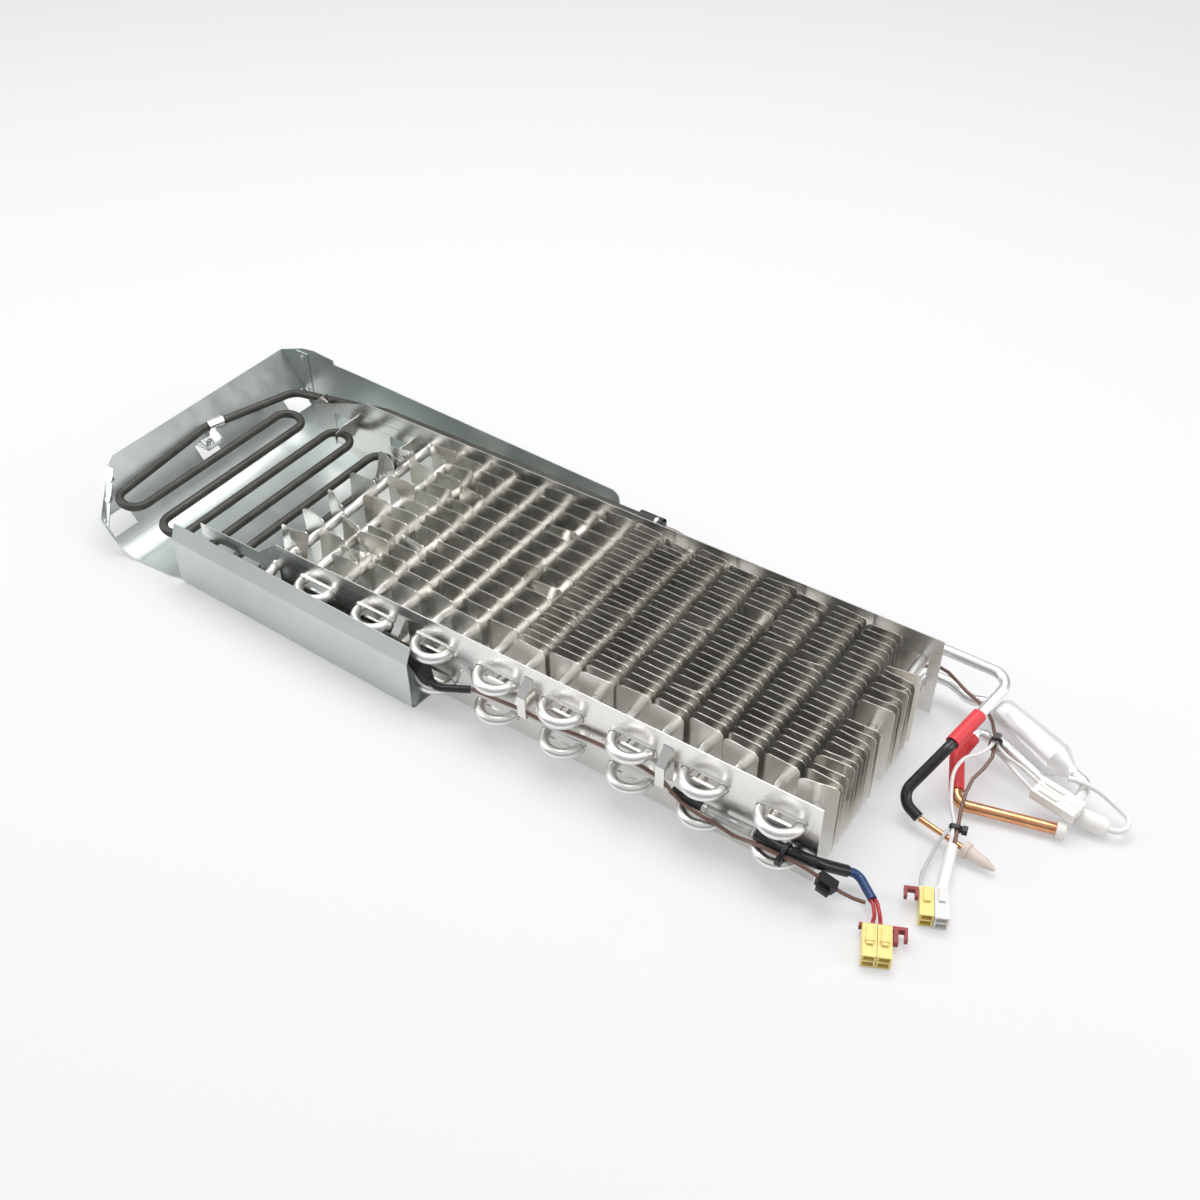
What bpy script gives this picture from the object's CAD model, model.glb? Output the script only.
# %% [markdown]
# A finned evaporator coil from a frost-free refrigerator, lying on its drip tray.
# The measured solids come in as a fixed frame. This lesson dresses them: it lays the leads as
# smooth curves, bends the thin fins and gives every surface a material made of nodes.

# %% Load the frame
import math
import random

import bmesh
import bpy
from mathutils import Matrix, Vector


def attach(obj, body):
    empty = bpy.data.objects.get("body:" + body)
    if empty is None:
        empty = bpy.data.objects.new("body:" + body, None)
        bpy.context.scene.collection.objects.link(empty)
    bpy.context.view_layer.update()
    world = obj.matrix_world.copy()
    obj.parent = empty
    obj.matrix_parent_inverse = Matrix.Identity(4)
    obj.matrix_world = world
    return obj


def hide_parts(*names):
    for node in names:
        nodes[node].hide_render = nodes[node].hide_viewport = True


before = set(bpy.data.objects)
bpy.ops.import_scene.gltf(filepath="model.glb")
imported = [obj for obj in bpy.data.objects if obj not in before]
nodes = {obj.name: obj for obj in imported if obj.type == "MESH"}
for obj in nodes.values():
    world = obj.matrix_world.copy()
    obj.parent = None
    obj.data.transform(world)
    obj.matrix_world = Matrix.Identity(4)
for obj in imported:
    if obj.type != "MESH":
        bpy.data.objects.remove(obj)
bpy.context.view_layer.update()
scene = bpy.context.scene
MM = 0.001
print("frame:", len(nodes), "nodes")

# %% [markdown]
# The photograph looks down on the coil from its near right corner. A 42 mm lens on a 36 mm
# wide sensor gives the same slow convergence of the two long sides. The camera is built from
# its three axes, because two angles and a small roll are easier to read than a matrix.

# %% Camera at the photograph's angle
AZIMUTH, PITCH, ROLL = math.radians(34.355), math.radians(41.682), math.radians(-0.303)
CAMERA_PLACE = Vector((651.4, -631.9, 738.2))
LENS, SENSOR_WIDTH = 42.324, 36
back = Vector((math.sin(AZIMUTH) * math.cos(PITCH), -math.cos(AZIMUTH) * math.cos(PITCH), math.sin(PITCH)))
right = Vector((math.cos(AZIMUTH), math.sin(AZIMUTH), 0))
up = back.cross(right)
turned_right = math.cos(ROLL) * right + math.sin(ROLL) * up
turned_up = math.cos(ROLL) * up - math.sin(ROLL) * right
camera_data = bpy.data.cameras.new("photo_camera")
camera_data.lens = LENS
camera_data.sensor_width = SENSOR_WIDTH
camera_data.clip_start = 0.05
camera_data.clip_end = 50
camera = bpy.data.objects.new("photo_camera", camera_data)
scene.collection.objects.link(camera)
camera.matrix_world = Matrix.Translation(CAMERA_PLACE * MM) @ Matrix(
    (turned_right, turned_up, back)).transposed().to_4x4()
scene.camera = camera
print("camera looks down", round(math.degrees(PITCH), 1), "degrees")

# %% [markdown]
# Each lead is a fixed length of insulated wire that leaves a sleeve, boot or tie and ends in the
# next one. The route points are the ones the solids follow. A smooth curve through them is made
# with the Catmull-Rom rule, which passes through every point, so a lead stays where it is held.
# The curve is then cut into even steps, because the points lie at uneven distances.

# %% Smooth curve through the route points
STEPS_PER_SPAN = 24


def smooth_route(points, count):
    pts = [Vector(p) * MM for p in points]
    ends = [2 * pts[0] - pts[1]] + pts + [2 * pts[-1] - pts[-2]]
    dense = []
    for i in range(1, len(ends) - 2):
        a, b, c, d = ends[i - 1:i + 3]
        for s in range(STEPS_PER_SPAN):
            t = s / STEPS_PER_SPAN
            dense.append(0.5 * (2 * b + t * (c - a) + t * t * (2 * a - 5 * b + 4 * c - d)
                                + t ** 3 * (3 * b - a - 3 * c + d)))
    dense.append(pts[-1])
    run = [0.0]
    for p, q in zip(dense, dense[1:]):
        run.append(run[-1] + (q - p).length)
    out, k = [], 0
    for i in range(count):
        want = run[-1] * i / (count - 1)
        while k < len(run) - 2 and run[k + 1] < want:
            k += 1
        span = run[k + 1] - run[k]
        out.append(dense[k].lerp(dense[k + 1], min(1, (want - run[k]) / span)))
    return out


# %% [markdown]
# A lead could be a swept mesh, but a curve with a round bevel stays a tube of one thickness in
# every bend. The bevel is 1 m deep and the radius at each point is the lead's own, in metres.


def lay_lead(name, points, thickness, node, count):
    route = smooth_route(points, count)
    line = bpy.data.curves.new(name, "CURVE")
    line.dimensions = "3D"
    line.bevel_depth = 1.0
    line.bevel_resolution = 4
    line.use_fill_caps = True
    spline = line.splines.new("POLY")
    spline.points.add(count - 1)
    for point, place in zip(spline.points, route):
        point.co = (*place, 1)
        point.radius = thickness / 2 * MM
    spline.use_smooth = True
    lead = bpy.data.objects.new(name, line)
    scene.collection.objects.link(lead)
    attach(lead, "root")
    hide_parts(node)
    return lead


# %% [markdown]
# Two short red leads leave the blue sleeve side by side and go into the yellow plug. The plug
# lies turned on the ground, so their last points are written in the plug's own directions.

# %% Red pair into the yellow plug
LEAD_D, RED_POINTS = 2.6, 16
PLUG_X, PLUG_Y, PLUG_Z, PLUG_TURN = 506, -122, 6, math.radians(-65)
BLACK_SLEEVE_FROM, BLACK_SLEEVE_TO = Vector((452, -102, 27)), Vector((467.5, -87, 14))
BLUE_SLEEVE_TO, BLUE_OVERLAP = Vector((490, -95, 10)), 9.5


def in_plug(x, y, z):
    return (PLUG_X + x * math.cos(PLUG_TURN) - y * math.sin(PLUG_TURN),
            PLUG_Y + x * math.sin(PLUG_TURN) + y * math.cos(PLUG_TURN), PLUG_Z + z)


black_way = (BLACK_SLEEVE_TO - BLACK_SLEEVE_FROM).normalized()
blue_way = (BLUE_SLEEVE_TO - BLACK_SLEEVE_TO - BLUE_OVERLAP * black_way).normalized()
red_pair = []
for name, i in (("lead_red_1", -1), ("lead_red_3", 1)):
    side = i * Vector((0.9, 1.1, 0))
    red_pair.append(lay_lead(name, [
        tuple(BLUE_SLEEVE_TO + 0.4 * blue_way + side), tuple(BLUE_SLEEVE_TO + 3.5 * blue_way + side),
        in_plug(-20.6, 1.7 * i, 2.6), in_plug(-17.4, 2.3 * i, 0.4), in_plug(-15.1, 2.4 * i, 0)],
        LEAD_D, "red_leads", RED_POINTS))

# %% [markdown]
# The near harness runs behind three tabs of the near plate, one brown lead above one white one.
# The white one goes into the sleeve of the thermal fuse. The brown one passes the fuse and goes
# into the blue sleeve, and it carries the plug with the red pair.

# %% Near leads
near_wires = [(179, -102, 26.5), (190, -102, 27.3), (202, -102.2, 28.8), (214, -103.2, 31.5),
              (227, -103.8, 33.4), (240, -103.4, 32), (254, -102.5, 31.7), (270, -102, 33.5),
              (290, -102, 35.4), (310, -102, 35.6), (325, -102.8, 35), (339, -103.8, 33.4)]
brown_tail = [(346, -106.3, 32.9), (353, -107.6, 29.5), (362, -108.2, 26.5), (372, -108.2, 25),
              (384, -107.8, 23.6), (397, -107, 20), (409, -108, 24), (421, -109.8, 27), (434, -110, 28),
              (446, -109.4, 27.6), (457, -108.6, 24.4), (463, -107.6, 21), (471, -105.2, 16),
              (480, -102.4, 12), (487, -99.6, 10)]
white_tail = [(342.6, -103.7, 31.6), (345.4, -103.4, 29.9)]
apart = LEAD_D / 2 + 0.1
brown_near = lay_lead("lead_brown_near", [(x, y, z + apart) for x, y, z in near_wires] + brown_tail,
                      LEAD_D, "near_lead_brown", 40)
white_near = lay_lead("lead_white_near", [(x, y, z - apart) for x, y, z in near_wires] + white_tail,
                      LEAD_D, "near_lead_white", 30)

# %% [markdown]
# The far brown lead comes from the heater's boot behind the coil, drops between the two rows of
# bends, and crosses the pipes to the woven sleeve. A white one joins it at the first tie.

# %% Far leads
far_brown_route = [
    (217.3, 91, 63), (230, 91, 63), (243, 90, 60), (252, 88.5, 48), (260, 88, 38), (272, 88, 33.5),
    (310, 88, 32), (350, 88, 32), (390, 88, 32), (420, 88, 32), (434, 92, 32), (444.6, 101.7, 30),
    (456, 97, 30), (469.1, 89.1, 30), (482.9, 83.1, 30), (493, 76.6, 29.5), (500.6, 65.8, 28.5),
    (506.2, 54.2, 28), (509.2, 39.1, 26), (505, 25.5, 22), (504.6, 14.7, 18), (506.7, 3, 14.5),
    (511.7, -14.7, 12.4), (513.6, -21.5, 12), (514.85, -25.95, 9.3)]
far_white_route = [
    (505.4, 54.2, 31.2), (505, 46, 31.4), (501, 36.5, 31), (494.7, 29.4, 30), (492.8, 17.3, 26),
    (498, 2.9, 20), (503.5, -6.3, 15.5), (507.9, -11.5, 13.1), (508.9, -15.4, 12.4),
    (510.7, -21.7, 12), (512.25, -27.05, 9.1)]
brown_far = lay_lead("lead_brown_far", far_brown_route, LEAD_D, "far_lead_brown", 40)
white_far = lay_lead("lead_white_far", far_white_route, LEAD_D, "far_lead_white", 24)

# %% [markdown]
# Short leads: a pair into the white block, a thicker one that loops round to the sensor capsule
# and a thin grey one beside the woven sleeve. The loop is part of a circle that sinks evenly to
# the ground, so its points come from a formula.

# %% Short leads
CAPSULE_D, GREY_D = 4, 2.4
LOOP_R, LOOP_X, LOOP_Y, LOOP_Z = 8, 595, 52.6, 10.2
LOOP_START, LOOP_STEP, LOOP_SINK, LOOP_POINTS = 55, 29, 0.6, 6
block_route_1 = [(507.6, 54.2, 25.6), (508.4, 51.4, 25.4), (515.4, 50.4, 22.5), (525.6, 46.4, 19.3),
                 (540.5, 39, 18.3)]
block_route_2 = [(508.2, 54.2, 29.9), (509.8, 51.8, 29.1), (517, 50.6, 25.4), (529.1, 51.2, 20.8),
                 (542.3, 47.4, 18.3)]
block_pair = [lay_lead("lead_block_1", block_route_1, LEAD_D, "block_leads", 18),
              lay_lead("lead_block_2", block_route_2, LEAD_D, "block_leads", 18)]
loop = []
for i in range(LOOP_POINTS):
    angle = math.radians(LOOP_START - LOOP_STEP * i)
    loop.append((LOOP_X + LOOP_R * math.cos(angle), LOOP_Y + LOOP_R * math.sin(angle),
                 LOOP_Z - LOOP_SINK * i))
capsule_route = [(557.1, 59.6, 20.5), (566, 61.6, 20.5), (578, 63, 17.5), (588, 62.4, 13.5),
                 *loop, (592.9, 44.6, 7.2)]
capsule_lead = lay_lead("lead_capsule", capsule_route, CAPSULE_D, "capsule_lead", 32)
grey_route = [(507, -17.9, 12.3), (506.5, -21.5, 12), (505.9, -26, 10.5), (505, -33, 7), (505, -42, 4.5),
              (505.4, -52, 4), (507.6, -60, 4.2), (510.3, -64.8, 4.8), (512.3, -68.4, 5)]
grey = lay_lead("lead_grey", grey_route, GREY_D, "grey_lead", 22)

# %% [markdown]
# Sheet metal is never one flat tone: rolling leaves fine streaks, zinc leaves soft patches and
# handling leaves smears. One node group gives two masks and a height, so every metal shares it
# and only its scale, its direction and its strength differ. The streaks come from noise that a
# Mapping node squeezes across the rolling direction.

# %% Node group for rolled and handled metal
def new_group(name, inputs, outputs):
    group = bpy.data.node_groups.new(name, "ShaderNodeTree")
    for label, kind, value in inputs:
        socket = group.interface.new_socket(label, in_out="INPUT", socket_type=kind)
        socket.default_value = value
    for label, kind in outputs:
        group.interface.new_socket(label, in_out="OUTPUT", socket_type=kind)
    return group, group.nodes.new("NodeGroupInput"), group.nodes.new("NodeGroupOutput")


def add(tree, kind, **values):
    node = tree.nodes.new(kind)
    for key, value in values.items():
        setattr(node, key, value)
    return node


metal_group, gin, gout = new_group(
    "rolled_metal",
    [("Patch Scale", "NodeSocketFloat", 30.0), ("Streak", "NodeSocketVector", (1, 1, 1)),
     ("Contrast", "NodeSocketFloat", 0.5)],
    [("Patch", "NodeSocketFloat"), ("Streaks", "NodeSocketFloat"), ("Height", "NodeSocketFloat")])
coords = add(metal_group, "ShaderNodeTexCoord")
stretch = add(metal_group, "ShaderNodeMapping")
metal_group.links.new(coords.outputs["Object"], stretch.inputs["Vector"])
metal_group.links.new(gin.outputs["Streak"], stretch.inputs["Scale"])
patch = add(metal_group, "ShaderNodeTexNoise")
patch.inputs["Detail"].default_value = 5
patch.inputs["Roughness"].default_value = 0.6
metal_group.links.new(coords.outputs["Object"], patch.inputs["Vector"])
metal_group.links.new(gin.outputs["Patch Scale"], patch.inputs["Scale"])
streak = add(metal_group, "ShaderNodeTexNoise")
streak.inputs["Scale"].default_value = 1
streak.inputs["Detail"].default_value = 3
metal_group.links.new(stretch.outputs["Vector"], streak.inputs["Vector"])
spread = add(metal_group, "ShaderNodeMapRange")
spread.inputs["From Min"].default_value = 0.32
spread.inputs["From Max"].default_value = 0.68
metal_group.links.new(patch.outputs["Fac"], spread.inputs["Value"])
thin = add(metal_group, "ShaderNodeMapRange")
thin.inputs["From Min"].default_value = 0.3
thin.inputs["From Max"].default_value = 0.7
metal_group.links.new(streak.outputs["Fac"], thin.inputs["Value"])
both = add(metal_group, "ShaderNodeMath", operation="MULTIPLY_ADD")
metal_group.links.new(spread.outputs["Result"], both.inputs[0])
metal_group.links.new(gin.outputs["Contrast"], both.inputs[1])
metal_group.links.new(thin.outputs["Result"], both.inputs[2])
metal_group.links.new(spread.outputs["Result"], gout.inputs["Patch"])
metal_group.links.new(thin.outputs["Result"], gout.inputs["Streaks"])
metal_group.links.new(both.outputs["Value"], gout.inputs["Height"])
print("group", metal_group.name, "has", len(metal_group.nodes), "nodes")

# %% [markdown]
# Moulded plastic and rubber need less: soft clouds in the colour and the gloss, and a faint
# grain for the bump.

# %% Node group for moulded surfaces
mould_group, gin, gout = new_group(
    "moulded_surface", [("Scale", "NodeSocketFloat", 400.0)],
    [("Cloud", "NodeSocketFloat"), ("Grain", "NodeSocketFloat")])
coords = add(mould_group, "ShaderNodeTexCoord")
cloud = add(mould_group, "ShaderNodeTexNoise")
cloud.inputs["Scale"].default_value = 60
cloud.inputs["Detail"].default_value = 4
mould_group.links.new(coords.outputs["Object"], cloud.inputs["Vector"])
grain = add(mould_group, "ShaderNodeTexNoise")
grain.inputs["Detail"].default_value = 2
mould_group.links.new(coords.outputs["Object"], grain.inputs["Vector"])
mould_group.links.new(gin.outputs["Scale"], grain.inputs["Scale"])
mould_group.links.new(cloud.outputs["Fac"], gout.inputs["Cloud"])
mould_group.links.new(grain.outputs["Fac"], gout.inputs["Grain"])
print("group", mould_group.name, "has", len(mould_group.nodes), "nodes")


# %% [markdown]
# A finish is a Principled shader that one of the groups feeds: its first mask blends two close
# colours, a mask moves the roughness between two values, and the height goes to a Bump node.
# Two makers hold these links, so each finish below is only its numbers.

# %% Makers of metals and mouldings
RELIEF_DEPTH, GLOW_DEPTH = 0.0002, 0.002


def material_base(name):
    material = bpy.data.materials.new(name)
    material.use_nodes = True
    tree = material.node_tree
    return material, tree, tree.nodes["Principled BSDF"]


def blend_colours(tree, mask, a, b, shader):
    mix = add(tree, "ShaderNodeMix", data_type="RGBA")
    mix.inputs["A"].default_value = (*a, 1)
    mix.inputs["B"].default_value = (*b, 1)
    tree.links.new(mask, mix.inputs["Factor"])
    tree.links.new(mix.outputs["Result"], shader.inputs["Base Color"])


def vary_roughness(tree, mask, low, high, shader):
    span = add(tree, "ShaderNodeMapRange")
    span.inputs["To Min"].default_value = low
    span.inputs["To Max"].default_value = high
    tree.links.new(mask, span.inputs["Value"])
    tree.links.new(span.outputs["Result"], shader.inputs["Roughness"])


def emboss(tree, height, strength, shader):
    relief = add(tree, "ShaderNodeBump")
    relief.inputs["Strength"].default_value = strength
    relief.inputs["Distance"].default_value = RELIEF_DEPTH
    tree.links.new(height, relief.inputs["Height"])
    tree.links.new(relief.outputs["Normal"], shader.inputs["Normal"])


def metal(name, a, b, rough, patch_scale, streak_scale, bump, metallic=1.0, contrast=0.5):
    material, tree, shader = material_base(name)
    group = add(tree, "ShaderNodeGroup", node_tree=metal_group)
    group.inputs["Patch Scale"].default_value = patch_scale
    group.inputs["Streak"].default_value = streak_scale
    group.inputs["Contrast"].default_value = contrast
    blend_colours(tree, group.outputs["Patch"], a, b, shader)
    vary_roughness(tree, group.outputs["Streaks"], *rough, shader)
    shader.inputs["Metallic"].default_value = metallic
    emboss(tree, group.outputs["Height"], bump, shader)
    return material


def moulded(name, a, b, rough, scale, bump=0.08, clear=0.0, under=0.0):
    material, tree, shader = material_base(name)
    group = add(tree, "ShaderNodeGroup", node_tree=mould_group)
    group.inputs["Scale"].default_value = scale
    blend_colours(tree, group.outputs["Cloud"], a, b, shader)
    vary_roughness(tree, group.outputs["Cloud"], *rough, shader)
    shader.inputs["Transmission Weight"].default_value = clear
    shader.inputs["Subsurface Weight"].default_value = under
    shader.inputs["Subsurface Scale"].default_value = GLOW_DEPTH
    emboss(tree, group.outputs["Grain"], bump, shader)
    return material


# %% [markdown]
# Each metal gives its two colours, its range of roughness, the scale of its patches, the scale
# of its streaks along x, y and z, and its bump. The tray is zinc-coated steel, which is greyer
# and greener than the aluminium of the plates, fins and tubes.

# %% Metals of this coil
zinc_sheet = metal("zinc_coated_sheet", (0.54, 0.59, 0.575), (0.64, 0.68, 0.66), (0.30, 0.42),
                   9, (2, 90, 90), 0.010, contrast=0.2)
plate_alloy = metal("plate_alloy", (0.84, 0.83, 0.80), (0.89, 0.88, 0.85), (0.22, 0.30),
                    9, (3, 90, 160), 0.015)
fin_alloy = metal("fin_alloy", (0.93, 0.915, 0.865), (0.97, 0.955, 0.905), (0.22, 0.30),
                  12, (30, 30, 6), 0.012)
tube_alloy = metal("tube_alloy", (0.84, 0.83, 0.80), (0.92, 0.91, 0.88), (0.28, 0.40),
                   40, (60, 6, 60), 0.03)
pipe_alloy = metal("pipe_alloy", (0.86, 0.86, 0.85), (0.94, 0.94, 0.93), (0.30, 0.44),
                   60, (20, 20, 60), 0.03)
shell_alloy = metal("accumulator_shell", (0.88, 0.88, 0.88), (0.95, 0.95, 0.95), (0.36, 0.46),
                    50, (14, 30, 160), 0.04, metallic=0.6)
heater_sheath = metal("heater_sheath", (0.040, 0.039, 0.033), (0.075, 0.072, 0.060), (0.38, 0.55),
                      60, (60, 10, 60), 0.08, metallic=0.3)
bright_steel = metal("bright_steel", (0.66, 0.66, 0.66), (0.85, 0.85, 0.85), (0.12, 0.30),
                     60, (90, 90, 90), 0.05)
copper = metal("copper_pipe", (0.62, 0.27, 0.13), (0.80, 0.42, 0.22), (0.18, 0.34),
               70, (20, 60, 60), 0.06)
print("materials so far:", len(bpy.data.materials))

# %% [markdown]
# Sleeves, boots, insulation and housings give two colours, a range of roughness and the scale
# of their grain. The clear ones let light through, and nylon and soft caps let a little of it
# scatter below the surface.

# %% Plastics and rubbers of this coil
black_rubber = moulded("black_rubber", (0.018, 0.018, 0.019), (0.034, 0.034, 0.036), (0.42, 0.6), 700)
black_sleeve = moulded("black_shrink_sleeve", (0.010, 0.010, 0.011), (0.022, 0.022, 0.024),
                       (0.18, 0.34), 260, 0.2)
black_nylon = moulded("black_nylon", (0.012, 0.012, 0.013), (0.026, 0.026, 0.028), (0.30, 0.46), 500)
blue_shrink = moulded("blue_sleeve", (0.015, 0.045, 0.14), (0.03, 0.075, 0.21), (0.28, 0.44), 260, 0.2)
red_shrink = moulded("red_shrink_sleeve", (0.72, 0.035, 0.045), (0.83, 0.065, 0.075),
                     (0.34, 0.5), 200, 0.25, under=0.1)
red_wire = moulded("red_insulation", (0.36, 0.015, 0.02), (0.50, 0.03, 0.035), (0.26, 0.4), 600)
brown_wire = moulded("brown_insulation", (0.13, 0.065, 0.045), (0.24, 0.14, 0.10), (0.24, 0.38), 600)
white_wire = moulded("white_insulation", (0.74, 0.73, 0.70), (0.86, 0.85, 0.83), (0.26, 0.42), 600)
grey_wire = moulded("grey_insulation", (0.46, 0.48, 0.49), (0.60, 0.62, 0.63), (0.26, 0.42), 600)
clear_sleeve = moulded("clear_sleeve", (0.84, 0.84, 0.82), (0.92, 0.92, 0.90),
                       (0.10, 0.22), 300, 0.1, clear=0.85)
yellow_nylon = moulded("yellow_nylon", (0.80, 0.64, 0.19), (0.88, 0.75, 0.30),
                       (0.26, 0.42), 500, under=0.35)
white_nylon = moulded("white_nylon", (0.82, 0.81, 0.76), (0.91, 0.90, 0.86), (0.28, 0.44), 500, under=0.3)
clear_nylon = moulded("clear_nylon", (0.90, 0.89, 0.86), (0.95, 0.94, 0.92),
                      (0.16, 0.28), 500, clear=0.25, under=0.3)
red_lock = moulded("dark_red_lock", (0.22, 0.012, 0.018), (0.34, 0.03, 0.035), (0.28, 0.44), 500)
woven_glass = moulded("white_glass_sleeve", (0.80, 0.80, 0.77), (0.90, 0.90, 0.88), (0.5, 0.66), 900, 0.3)
cap_rubber = moulded("cap_rubber", (0.84, 0.72, 0.64), (0.92, 0.84, 0.78),
                     (0.3, 0.44), 400, clear=0.35, under=0.3)
print("materials so far:", len(bpy.data.materials))

# %% [markdown]
# The far boot that shows behind the plate ends bluntly, so the boots' solid is copied and its
# loose triangles are merged, and shaded flat so that its edges stay crisp. Then the shoulder ring
# of the far boot's taper is moved almost up to the end, which leaves a narrow slope for an edge.
# A bright ferrule goes round the boot.

# %% Blunt far boot with a ferrule
BOOT_X, BOOT_Y, BOOT_Z = 195.0, 91.0, 63.0
SHOULDER, BOOT_END, BOOT_EDGE = 14.0, 22.0, 1.5
FERRULE_R, FERRULE_LONG, FERRULE_AT = 6.25, 2.4, 16
MERGE = 1e-6


def made_object(name, mesh):
    data = bpy.data.meshes.new(name)
    mesh.to_mesh(data)
    mesh.free()
    made = bpy.data.objects.new(name, data)
    scene.collection.objects.link(made)
    return made


boots_mesh = bmesh.new()
boots_mesh.from_mesh(nodes["terminal_boots"].data)
bmesh.ops.remove_doubles(boots_mesh, verts=boots_mesh.verts, dist=MERGE)
for face in boots_mesh.faces:
    face.smooth = False
for v in boots_mesh.verts:
    if v.co.y > 0 and abs(v.co.x / MM - BOOT_X - SHOULDER) < 1:
        v.co.x += (BOOT_END - SHOULDER - BOOT_EDGE) * MM
boots = made_object("rubber_boots", boots_mesh)
ring_mesh = bmesh.new()
along_x = Matrix.Rotation(math.radians(90), 4, "Y")
at_ferrule = Matrix.Translation(Vector((BOOT_X + FERRULE_AT, BOOT_Y, BOOT_Z)) * MM)
bmesh.ops.create_cone(ring_mesh, segments=48, radius1=FERRULE_R * MM, radius2=FERRULE_R * MM,
                      depth=FERRULE_LONG * MM, cap_ends=True, matrix=at_ferrule @ along_x)
ferrule = made_object("boot_ferrule", ring_mesh)
for piece in (boots, ferrule):
    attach(piece, "root")
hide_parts("terminal_boots")
print("boots have", len(boots.data.polygons), "faces")

# %% [markdown]
# Most solids need only a finish. A table from finish to nodes shows at a glance what is made of
# what, and a wrong name in it stops the script.

# %% Dress the solids, the leads and the boots
finishes = {
    zinc_sheet: ["tray"],
    plate_alloy: ["end_plate_near", "end_plate_far"],
    tube_alloy: ["coil_tube"],
    pipe_alloy: ["inlet_pipe", "outlet_pipe", "return_pipe"],
    shell_alloy: ["accumulator"],
    heater_sheath: ["heater_tube"],
    bright_steel: ["heater_clip", "clip_screw", "tray_rivets", "thermal_fuse"],
    copper: ["capillary", "suction_pipe"],
    black_sleeve: ["thin_sleeves", "harness_sleeve", "inlet_sleeve"],
    black_nylon: ["harness_clip", "zip_ties"],
    blue_shrink: ["blue_sleeve"],
    red_shrink: ["red_sleeves"],
    clear_sleeve: ["fuse_sleeve"],
    yellow_nylon: ["plug_housing_1", "plug_housing_2", "socket_yellow"],
    white_nylon: ["sensor_block", "sensor_capsule", "suction_cap"],
    clear_nylon: ["socket_clear"],
    red_lock: ["plug_lock", "socket_lock"],
    woven_glass: ["printed_sleeve"],
    cap_rubber: ["capillary_cap"],
}
made_here = {
    brown_wire: [brown_near, brown_far],
    white_wire: [white_near, white_far, *block_pair, capsule_lead],
    grey_wire: [grey],
    red_wire: red_pair,
    black_rubber: [boots],
    bright_steel: [ferrule],
}


def dress(obj, material):
    obj.data.materials.clear()
    obj.data.materials.append(material)


for material, names in finishes.items():
    for name in names:
        dress(nodes[name], material)
for material, pieces in made_here.items():
    for piece in pieces:
        dress(piece, material)
print("dressed", sum(len(n) for n in finishes.values()), "solids and",
      sum(len(p) for p in made_here.values()), "pieces")

# %% [markdown]
# The fins are foil a quarter of a millimetre thick, threaded on the tubes in 17 banks. They
# stand close at the pipe end and far apart by the tray. The close ones stand straight, with a
# few bent corners; by the tray, where hands reach them, they lean, twist and fold. A seed for
# each fin gives it habits of its own, and the same ones in every run.

# %% Habits of the fins
BANKS, CLOSE_BANKS, CALM_BANKS, OPEN_BANKS = 17, 9, 12, 15
CLOSE_PITCH, OPEN_PITCH, WIDEST_PITCH = 6.7, 13.4, 26.8
WILDNESS = (0.04, 0.05, 0.07, 0.12, 0.25, 0.45, 0.8, 1.0)


def bank_pitch(k):
    return CLOSE_PITCH if k < CLOSE_BANKS else OPEN_PITCH if k < OPEN_BANKS else WIDEST_PITCH


def fin_habit(k, j, last):
    """Lean, twist and bow of fin j in bank k, in millimetres at the fin's edge, and its folds."""
    dice = random.Random(1000 * k + j)
    wild = 0.0 if k < CLOSE_BANKS else WILDNESS[k - CLOSE_BANKS]
    lean = dice.uniform(-0.18, 0.18) + dice.uniform(-2.4, 2.4) * wild
    twist = dice.uniform(-0.15, 0.15) + dice.uniform(-2.4, 2.4) * wild
    bow = dice.uniform(-0.12, 0.12) + dice.uniform(-1.4, 1.4) * wild
    folds = []
    if dice.random() < 0.04 + 0.5 * wild:
        turn = math.radians(dice.uniform(25, 65))
        corner = Vector((dice.choice((-1, 1)) * dice.uniform(2, 6), dice.uniform(14, 22)))
        folds.append((turn, corner, dice.uniform(0.15, 0.4) * dice.choice((-1, 1)) * (1 + wild)))
    if j in (0, last) and k < CALM_BANKS:
        # The first and last fins of a bank are knocked more often than those between them.
        twist += dice.choice((-1, 1)) * dice.uniform(0.3, 1.2)
    if k == 0:
        # The pipe-end bank stands in the open, so its fins are knocked to and fro.
        lean += dice.uniform(-0.8, 0.8)
        twist += dice.uniform(-1.2, 1.6)
    return lean, twist, bow, folds


print("pitches:", [bank_pitch(k) for k in range(BANKS)])

# %% [markdown]
# Each bank's solid is copied and its loose triangles are merged. Its last fin is repeated at the
# bank's own pitch up to the far plate, and fins past the last place or lost from the real coil
# are taken out. Only the bank at the pipe end stops short of the plate, as on the real coil.

# %% Repeat and drop fins
FIN_FIRST, NEAR_Y, COIL_W = 20.0, -97.0, 180.5
LAST_Y, LAST_Y_PIPE_END = 78, 46
LOST_FINS = {(0, 10), (0, 11), (4, 17)}


def fin_number(v, first, pitch):
    return int((v.co.y / MM - first + 0.5) // pitch)


def drop_fins(mesh, first, pitch, gone):
    verts = [v for v in mesh.verts if gone(fin_number(v, first, pitch))]
    bmesh.ops.delete(mesh, geom=verts, context="VERTS")


def repeat_last_fin(mesh, y_last, pitch, times):
    verts = [v for v in mesh.verts if v.co.y > (y_last - 0.5 * pitch) * MM]
    faces = {f for v in verts for f in v.link_faces}
    edges = {e for v in verts for e in v.link_edges}
    for n in range(1, times + 1):
        made = bmesh.ops.duplicate(mesh, geom=verts + list(edges) + list(faces))["geom"]
        bmesh.ops.translate(mesh, verts=[g for g in made if isinstance(g, bmesh.types.BMVert)],
                            vec=(0, n * pitch * MM, 0))


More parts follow.
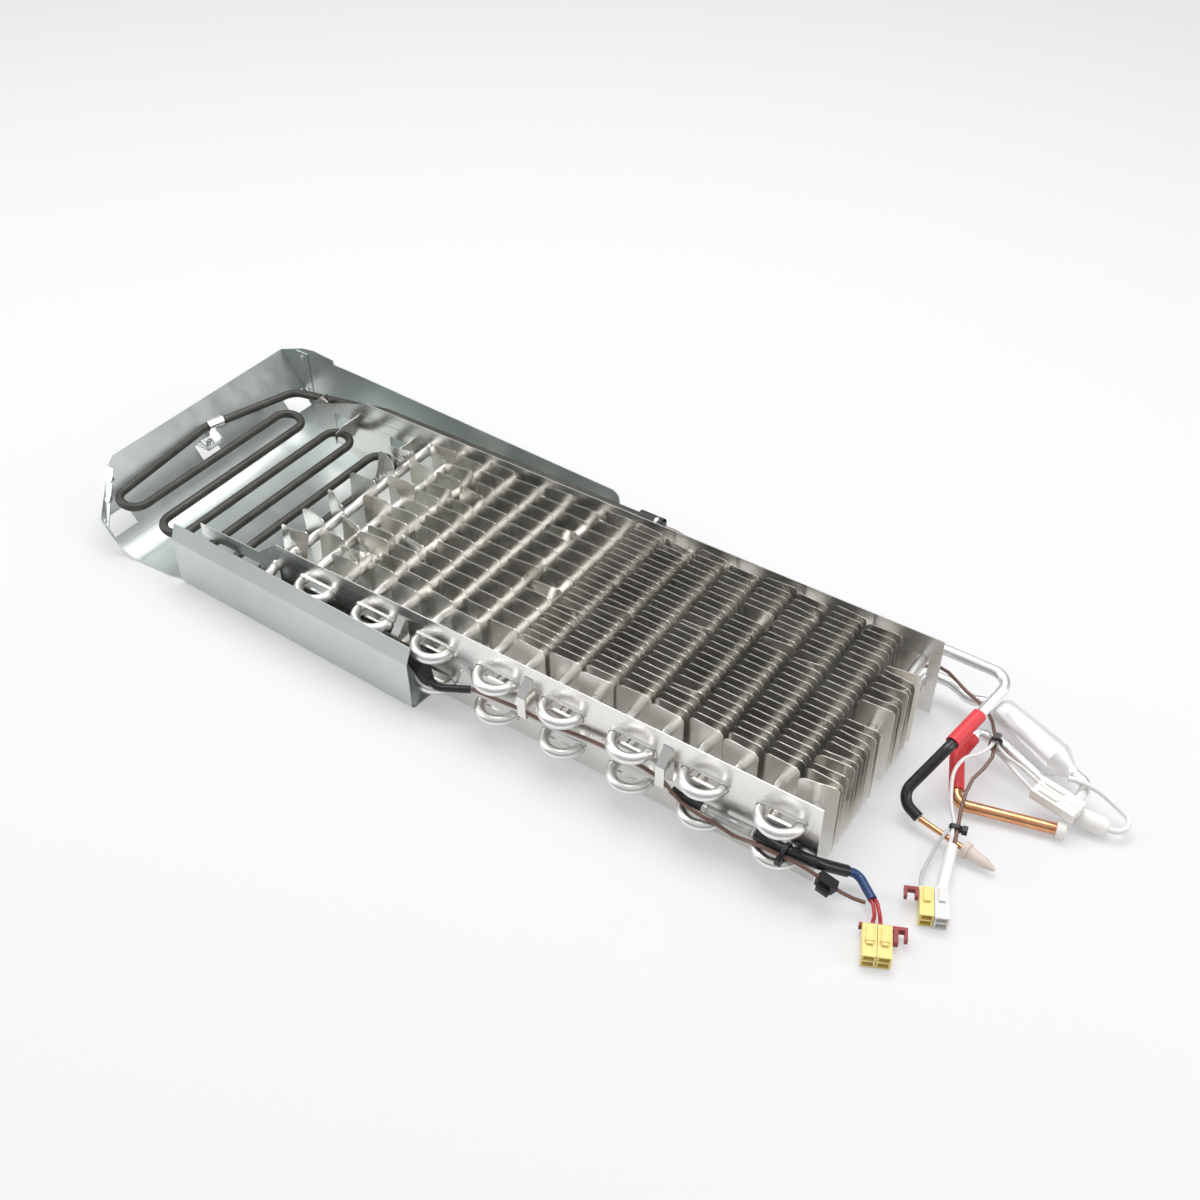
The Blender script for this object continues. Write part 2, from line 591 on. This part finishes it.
# %% [markdown]
# Cuts by bisect_plane give the foil something to bend at, more of them in the wild banks. Then
# every point moves only along the tube, which keeps each hole round its tube, and a soft limit
# keeps a fin off its neighbours. Foil this thin leaves pinholes in a render, so the sheet is
# drawn 1.7 times as thick.

# %% Bend the fins of each bank
FIRST_PASS_X, PASS_PITCH = 437, 28
FIN_MID_Z, FIN_HALF_W, FIN_HALF_H = 35.9, 13, 33
FIN_T, FIN_LOOK = 0.25, 1.7
FREE_SHARE = 0.44
CALM_CUTS = (-10, -6, 6, 10), (-24, -4, 4, 24, 29)
WILD_CUTS = (-11, -9, -7, -5, -2.5, 2.5, 5, 7, 9, 11), (-24, -12, -4, 0, 4, 10, 16, 20, 24, 27, 30)


def cut(mesh, place, direction):
    bmesh.ops.bisect_plane(mesh, geom=mesh.verts[:] + mesh.edges[:] + mesh.faces[:],
                           plane_co=place, plane_no=direction, dist=1e-7)


def bend_bank(k):
    name = "fin_bank_%02d" % (k + 1)
    mesh = bmesh.new()
    mesh.from_mesh(nodes[name].data)
    bmesh.ops.remove_doubles(mesh, verts=mesh.verts, dist=MERGE)
    pitch = bank_pitch(k)
    shift = 0 if k % 2 == 0 else pitch / 2
    first = NEAR_Y + FIN_FIRST + shift
    solid_last = int((COIL_W - 2 * FIN_FIRST - shift) // pitch)
    last = int(((LAST_Y_PIPE_END if k == 0 else LAST_Y) - first) // pitch)
    repeat_last_fin(mesh, first + solid_last * pitch, pitch, last - solid_last)
    drop_fins(mesh, first, pitch, lambda j: j > last or (k, j) in LOST_FINS)
    mid_x = FIRST_PASS_X - PASS_PITCH * k
    cuts_x, cuts_z = CALM_CUTS if k < CALM_BANKS else WILD_CUTS
    for x in cuts_x:
        cut(mesh, ((mid_x + x) * MM, 0, 0), (1, 0, 0))
    for z in cuts_z:
        cut(mesh, (0, 0, (FIN_MID_Z + z) * MM), (0, 0, 1))
    habits = [fin_habit(k, j, last) for j in range(last + 1)]
    limit = FREE_SHARE * pitch
    for v in mesh.verts:
        j = min(last, max(0, fin_number(v, first, pitch)))
        lean, twist, bow, folds = habits[j]
        x, z = v.co.x / MM - mid_x, v.co.z / MM - FIN_MID_Z
        move = lean * z / FIN_HALF_H + twist * x / FIN_HALF_W
        move += bow * (1 - (x / FIN_HALF_W) ** 2) * z / FIN_HALF_H
        for turn, corner, steep in folds:
            past = ((x - corner.x) * math.cos(turn) * math.copysign(1, corner.x)
                    + (z - corner.y) * math.sin(turn))
            move += steep * max(0.0, past)
        move = limit * math.tanh(move / limit)
        off_middle = v.co.y / MM - (first + j * pitch - FIN_T / 2)
        if abs(off_middle) < FIN_T:
            move += (FIN_LOOK - 1) * off_middle
        v.co.y += move * MM
    piece = made_object("bent_" + name, mesh)
    dress(piece, fin_alloy)
    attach(piece, "root")
    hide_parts(name)
    return len(piece.data.polygons)


print("fins have", sum(bend_bank(k) for k in range(BANKS)), "faces")

# %% [markdown]
# The far plate has triangles pressed out of it. Each pressed flap stands out towards the tray
# and hooks over a turn of the heater. A flap is one flat outline, given by y and z, that is
# extruded to the thickness of the sheet.

# %% Heater flaps on the far plate
FLAP_T = 0.5
PLAIN_FLAP = [(83.6, 64.6), (68.4, 64), (68.4, 62.2), (83.6, 55.3)]
HOOKED_FLAP = [(83.6, 47), (72, 47.5), (62, 45), (60.4, 41), (60.5, 34.5), (62, 34.5), (63, 40),
               (66, 41), (83.6, 29.5)]


def flap(name, x, outline):
    mesh = bmesh.new()
    face = mesh.faces.new([mesh.verts.new((x * MM, y * MM, z * MM)) for y, z in outline])
    raised = bmesh.ops.extrude_face_region(mesh, geom=[face])["geom"]
    bmesh.ops.translate(mesh, verts=[g for g in raised if isinstance(g, bmesh.types.BMVert)],
                        vec=(FLAP_T * MM, 0, 0))
    bmesh.ops.recalc_face_normals(mesh, faces=mesh.faces)
    piece = made_object(name, mesh)
    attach(piece, "root")
    dress(piece, plate_alloy)
    print(name, "has", len(piece.data.polygons), "faces")


flap("heater_flap_1", -121.2, PLAIN_FLAP)
flap("heater_flap_2", -95.0, HOOKED_FLAP)
flap("heater_flap_3", -33.0, HOOKED_FLAP)

# %% [markdown]
# The coil lies on a sheet of pale paper. Light Path lets camera rays and mirror rays see part of
# the paper as a plain glow, so the ground looks white without more light on the coil, and the
# rest of the paper still takes its shadow.

# %% Paper ground
FLOOR_HALF, FLOOR_PLACE = 6, (0.15, 0, -0.0006)
SHOWN_AS_GLOW, MIRROR_SHARE = 0.4, 0.7
floor_mesh = bmesh.new()
bmesh.ops.create_grid(floor_mesh, x_segments=1, y_segments=1, size=FLOOR_HALF)
bmesh.ops.translate(floor_mesh, verts=floor_mesh.verts, vec=FLOOR_PLACE)
floor = made_object("paper_floor", floor_mesh)
paper, tree, shader = material_base("pale_paper")
shader.inputs["Base Color"].default_value = (0.79, 0.79, 0.795, 1)
shader.inputs["Roughness"].default_value = 0.8
shader.inputs["Specular IOR Level"].default_value = 0.1
glow = add(tree, "ShaderNodeEmission")
glow.inputs["Color"].default_value = (0.88, 0.88, 0.885, 1)
path = add(tree, "ShaderNodeLightPath")
seen = add(tree, "ShaderNodeMath", operation="MULTIPLY_ADD")
seen.inputs[1].default_value = MIRROR_SHARE
share = add(tree, "ShaderNodeMath", operation="MULTIPLY")
share.inputs[1].default_value = SHOWN_AS_GLOW
blend = add(tree, "ShaderNodeMixShader")
tree.links.new(path.outputs["Is Glossy Ray"], seen.inputs[0])
tree.links.new(path.outputs["Is Camera Ray"], seen.inputs[2])
tree.links.new(seen.outputs["Value"], share.inputs[0])
tree.links.new(share.outputs["Value"], blend.inputs["Fac"])
tree.links.new(shader.outputs["BSDF"], blend.inputs[1])
tree.links.new(glow.outputs["Emission"], blend.inputs[2])
tree.links.new(blend.outputs["Shader"], tree.nodes["Material Output"].inputs["Surface"])
dress(floor, paper)
print("ground is", 2 * FLOOR_HALF, "m wide")

# %% [markdown]
# Metal shows what surrounds it. The world is bright above and darkest a little over the horizon,
# and that dark rim gives the dark bands between the fins. A ColorRamp over the height does it.

# %% World
RIM_AT, BRIGHT_AT, WORLD_STRENGTH = 0.22, 0.75, 0.75
world = bpy.data.worlds.new("studio")
scene.world = world
world.use_nodes = True
tree = world.node_tree
background = tree.nodes["Background"]
coords = add(tree, "ShaderNodeTexCoord")
parts = add(tree, "ShaderNodeSeparateXYZ")
tree.links.new(coords.outputs["Generated"], parts.inputs["Vector"])
ramp = add(tree, "ShaderNodeValToRGB")
ramp.color_ramp.elements[0].position = 0.0
ramp.color_ramp.elements[0].color = (0.30, 0.30, 0.31, 1)
ramp.color_ramp.elements[1].position = BRIGHT_AT
ramp.color_ramp.elements[1].color = (0.92, 0.93, 0.95, 1)
rim = ramp.color_ramp.elements.new(RIM_AT)
rim.color = (0.21, 0.21, 0.22, 1)
tree.links.new(parts.outputs["Z"], ramp.inputs["Fac"])
tree.links.new(ramp.outputs["Color"], background.inputs["Color"])
background.inputs["Strength"].default_value = WORLD_STRENGTH
print("world strength", WORLD_STRENGTH)


# %% [markdown]
# Three wide area lamps give soft shadows: the strongest high above the far side, a weaker one at
# the near left and the weakest on the right. A lamp shines along its own minus z, so its z axis
# is pointed away from its target.

# %% Soft lamps
def soft_lamp(name, place, target, size, power):
    data = bpy.data.lights.new(name, "AREA")
    data.shape = "RECTANGLE"
    data.size, data.size_y = size
    data.energy = power
    lamp = bpy.data.objects.new(name, data)
    scene.collection.objects.link(lamp)
    away = (Vector(place) - Vector(target)).normalized()
    lamp.matrix_world = Matrix.Translation(place) @ away.to_track_quat("Z", "Y").to_matrix().to_4x4()
    print(name, "has", power, "W")


soft_lamp("top_light", (0.0, 0.5, 1.9), (0.15, 0, 0), (1.6, 1.2), 26)
soft_lamp("left_light", (-1.5, -0.9, 1.1), (0.1, 0, 0), (0.9, 1.2), 12)
soft_lamp("right_light", (1.9, 0.4, 0.9), (0.3, 0, 0), (0.5, 1.4), 9)
scene.view_settings.view_transform = "Standard"
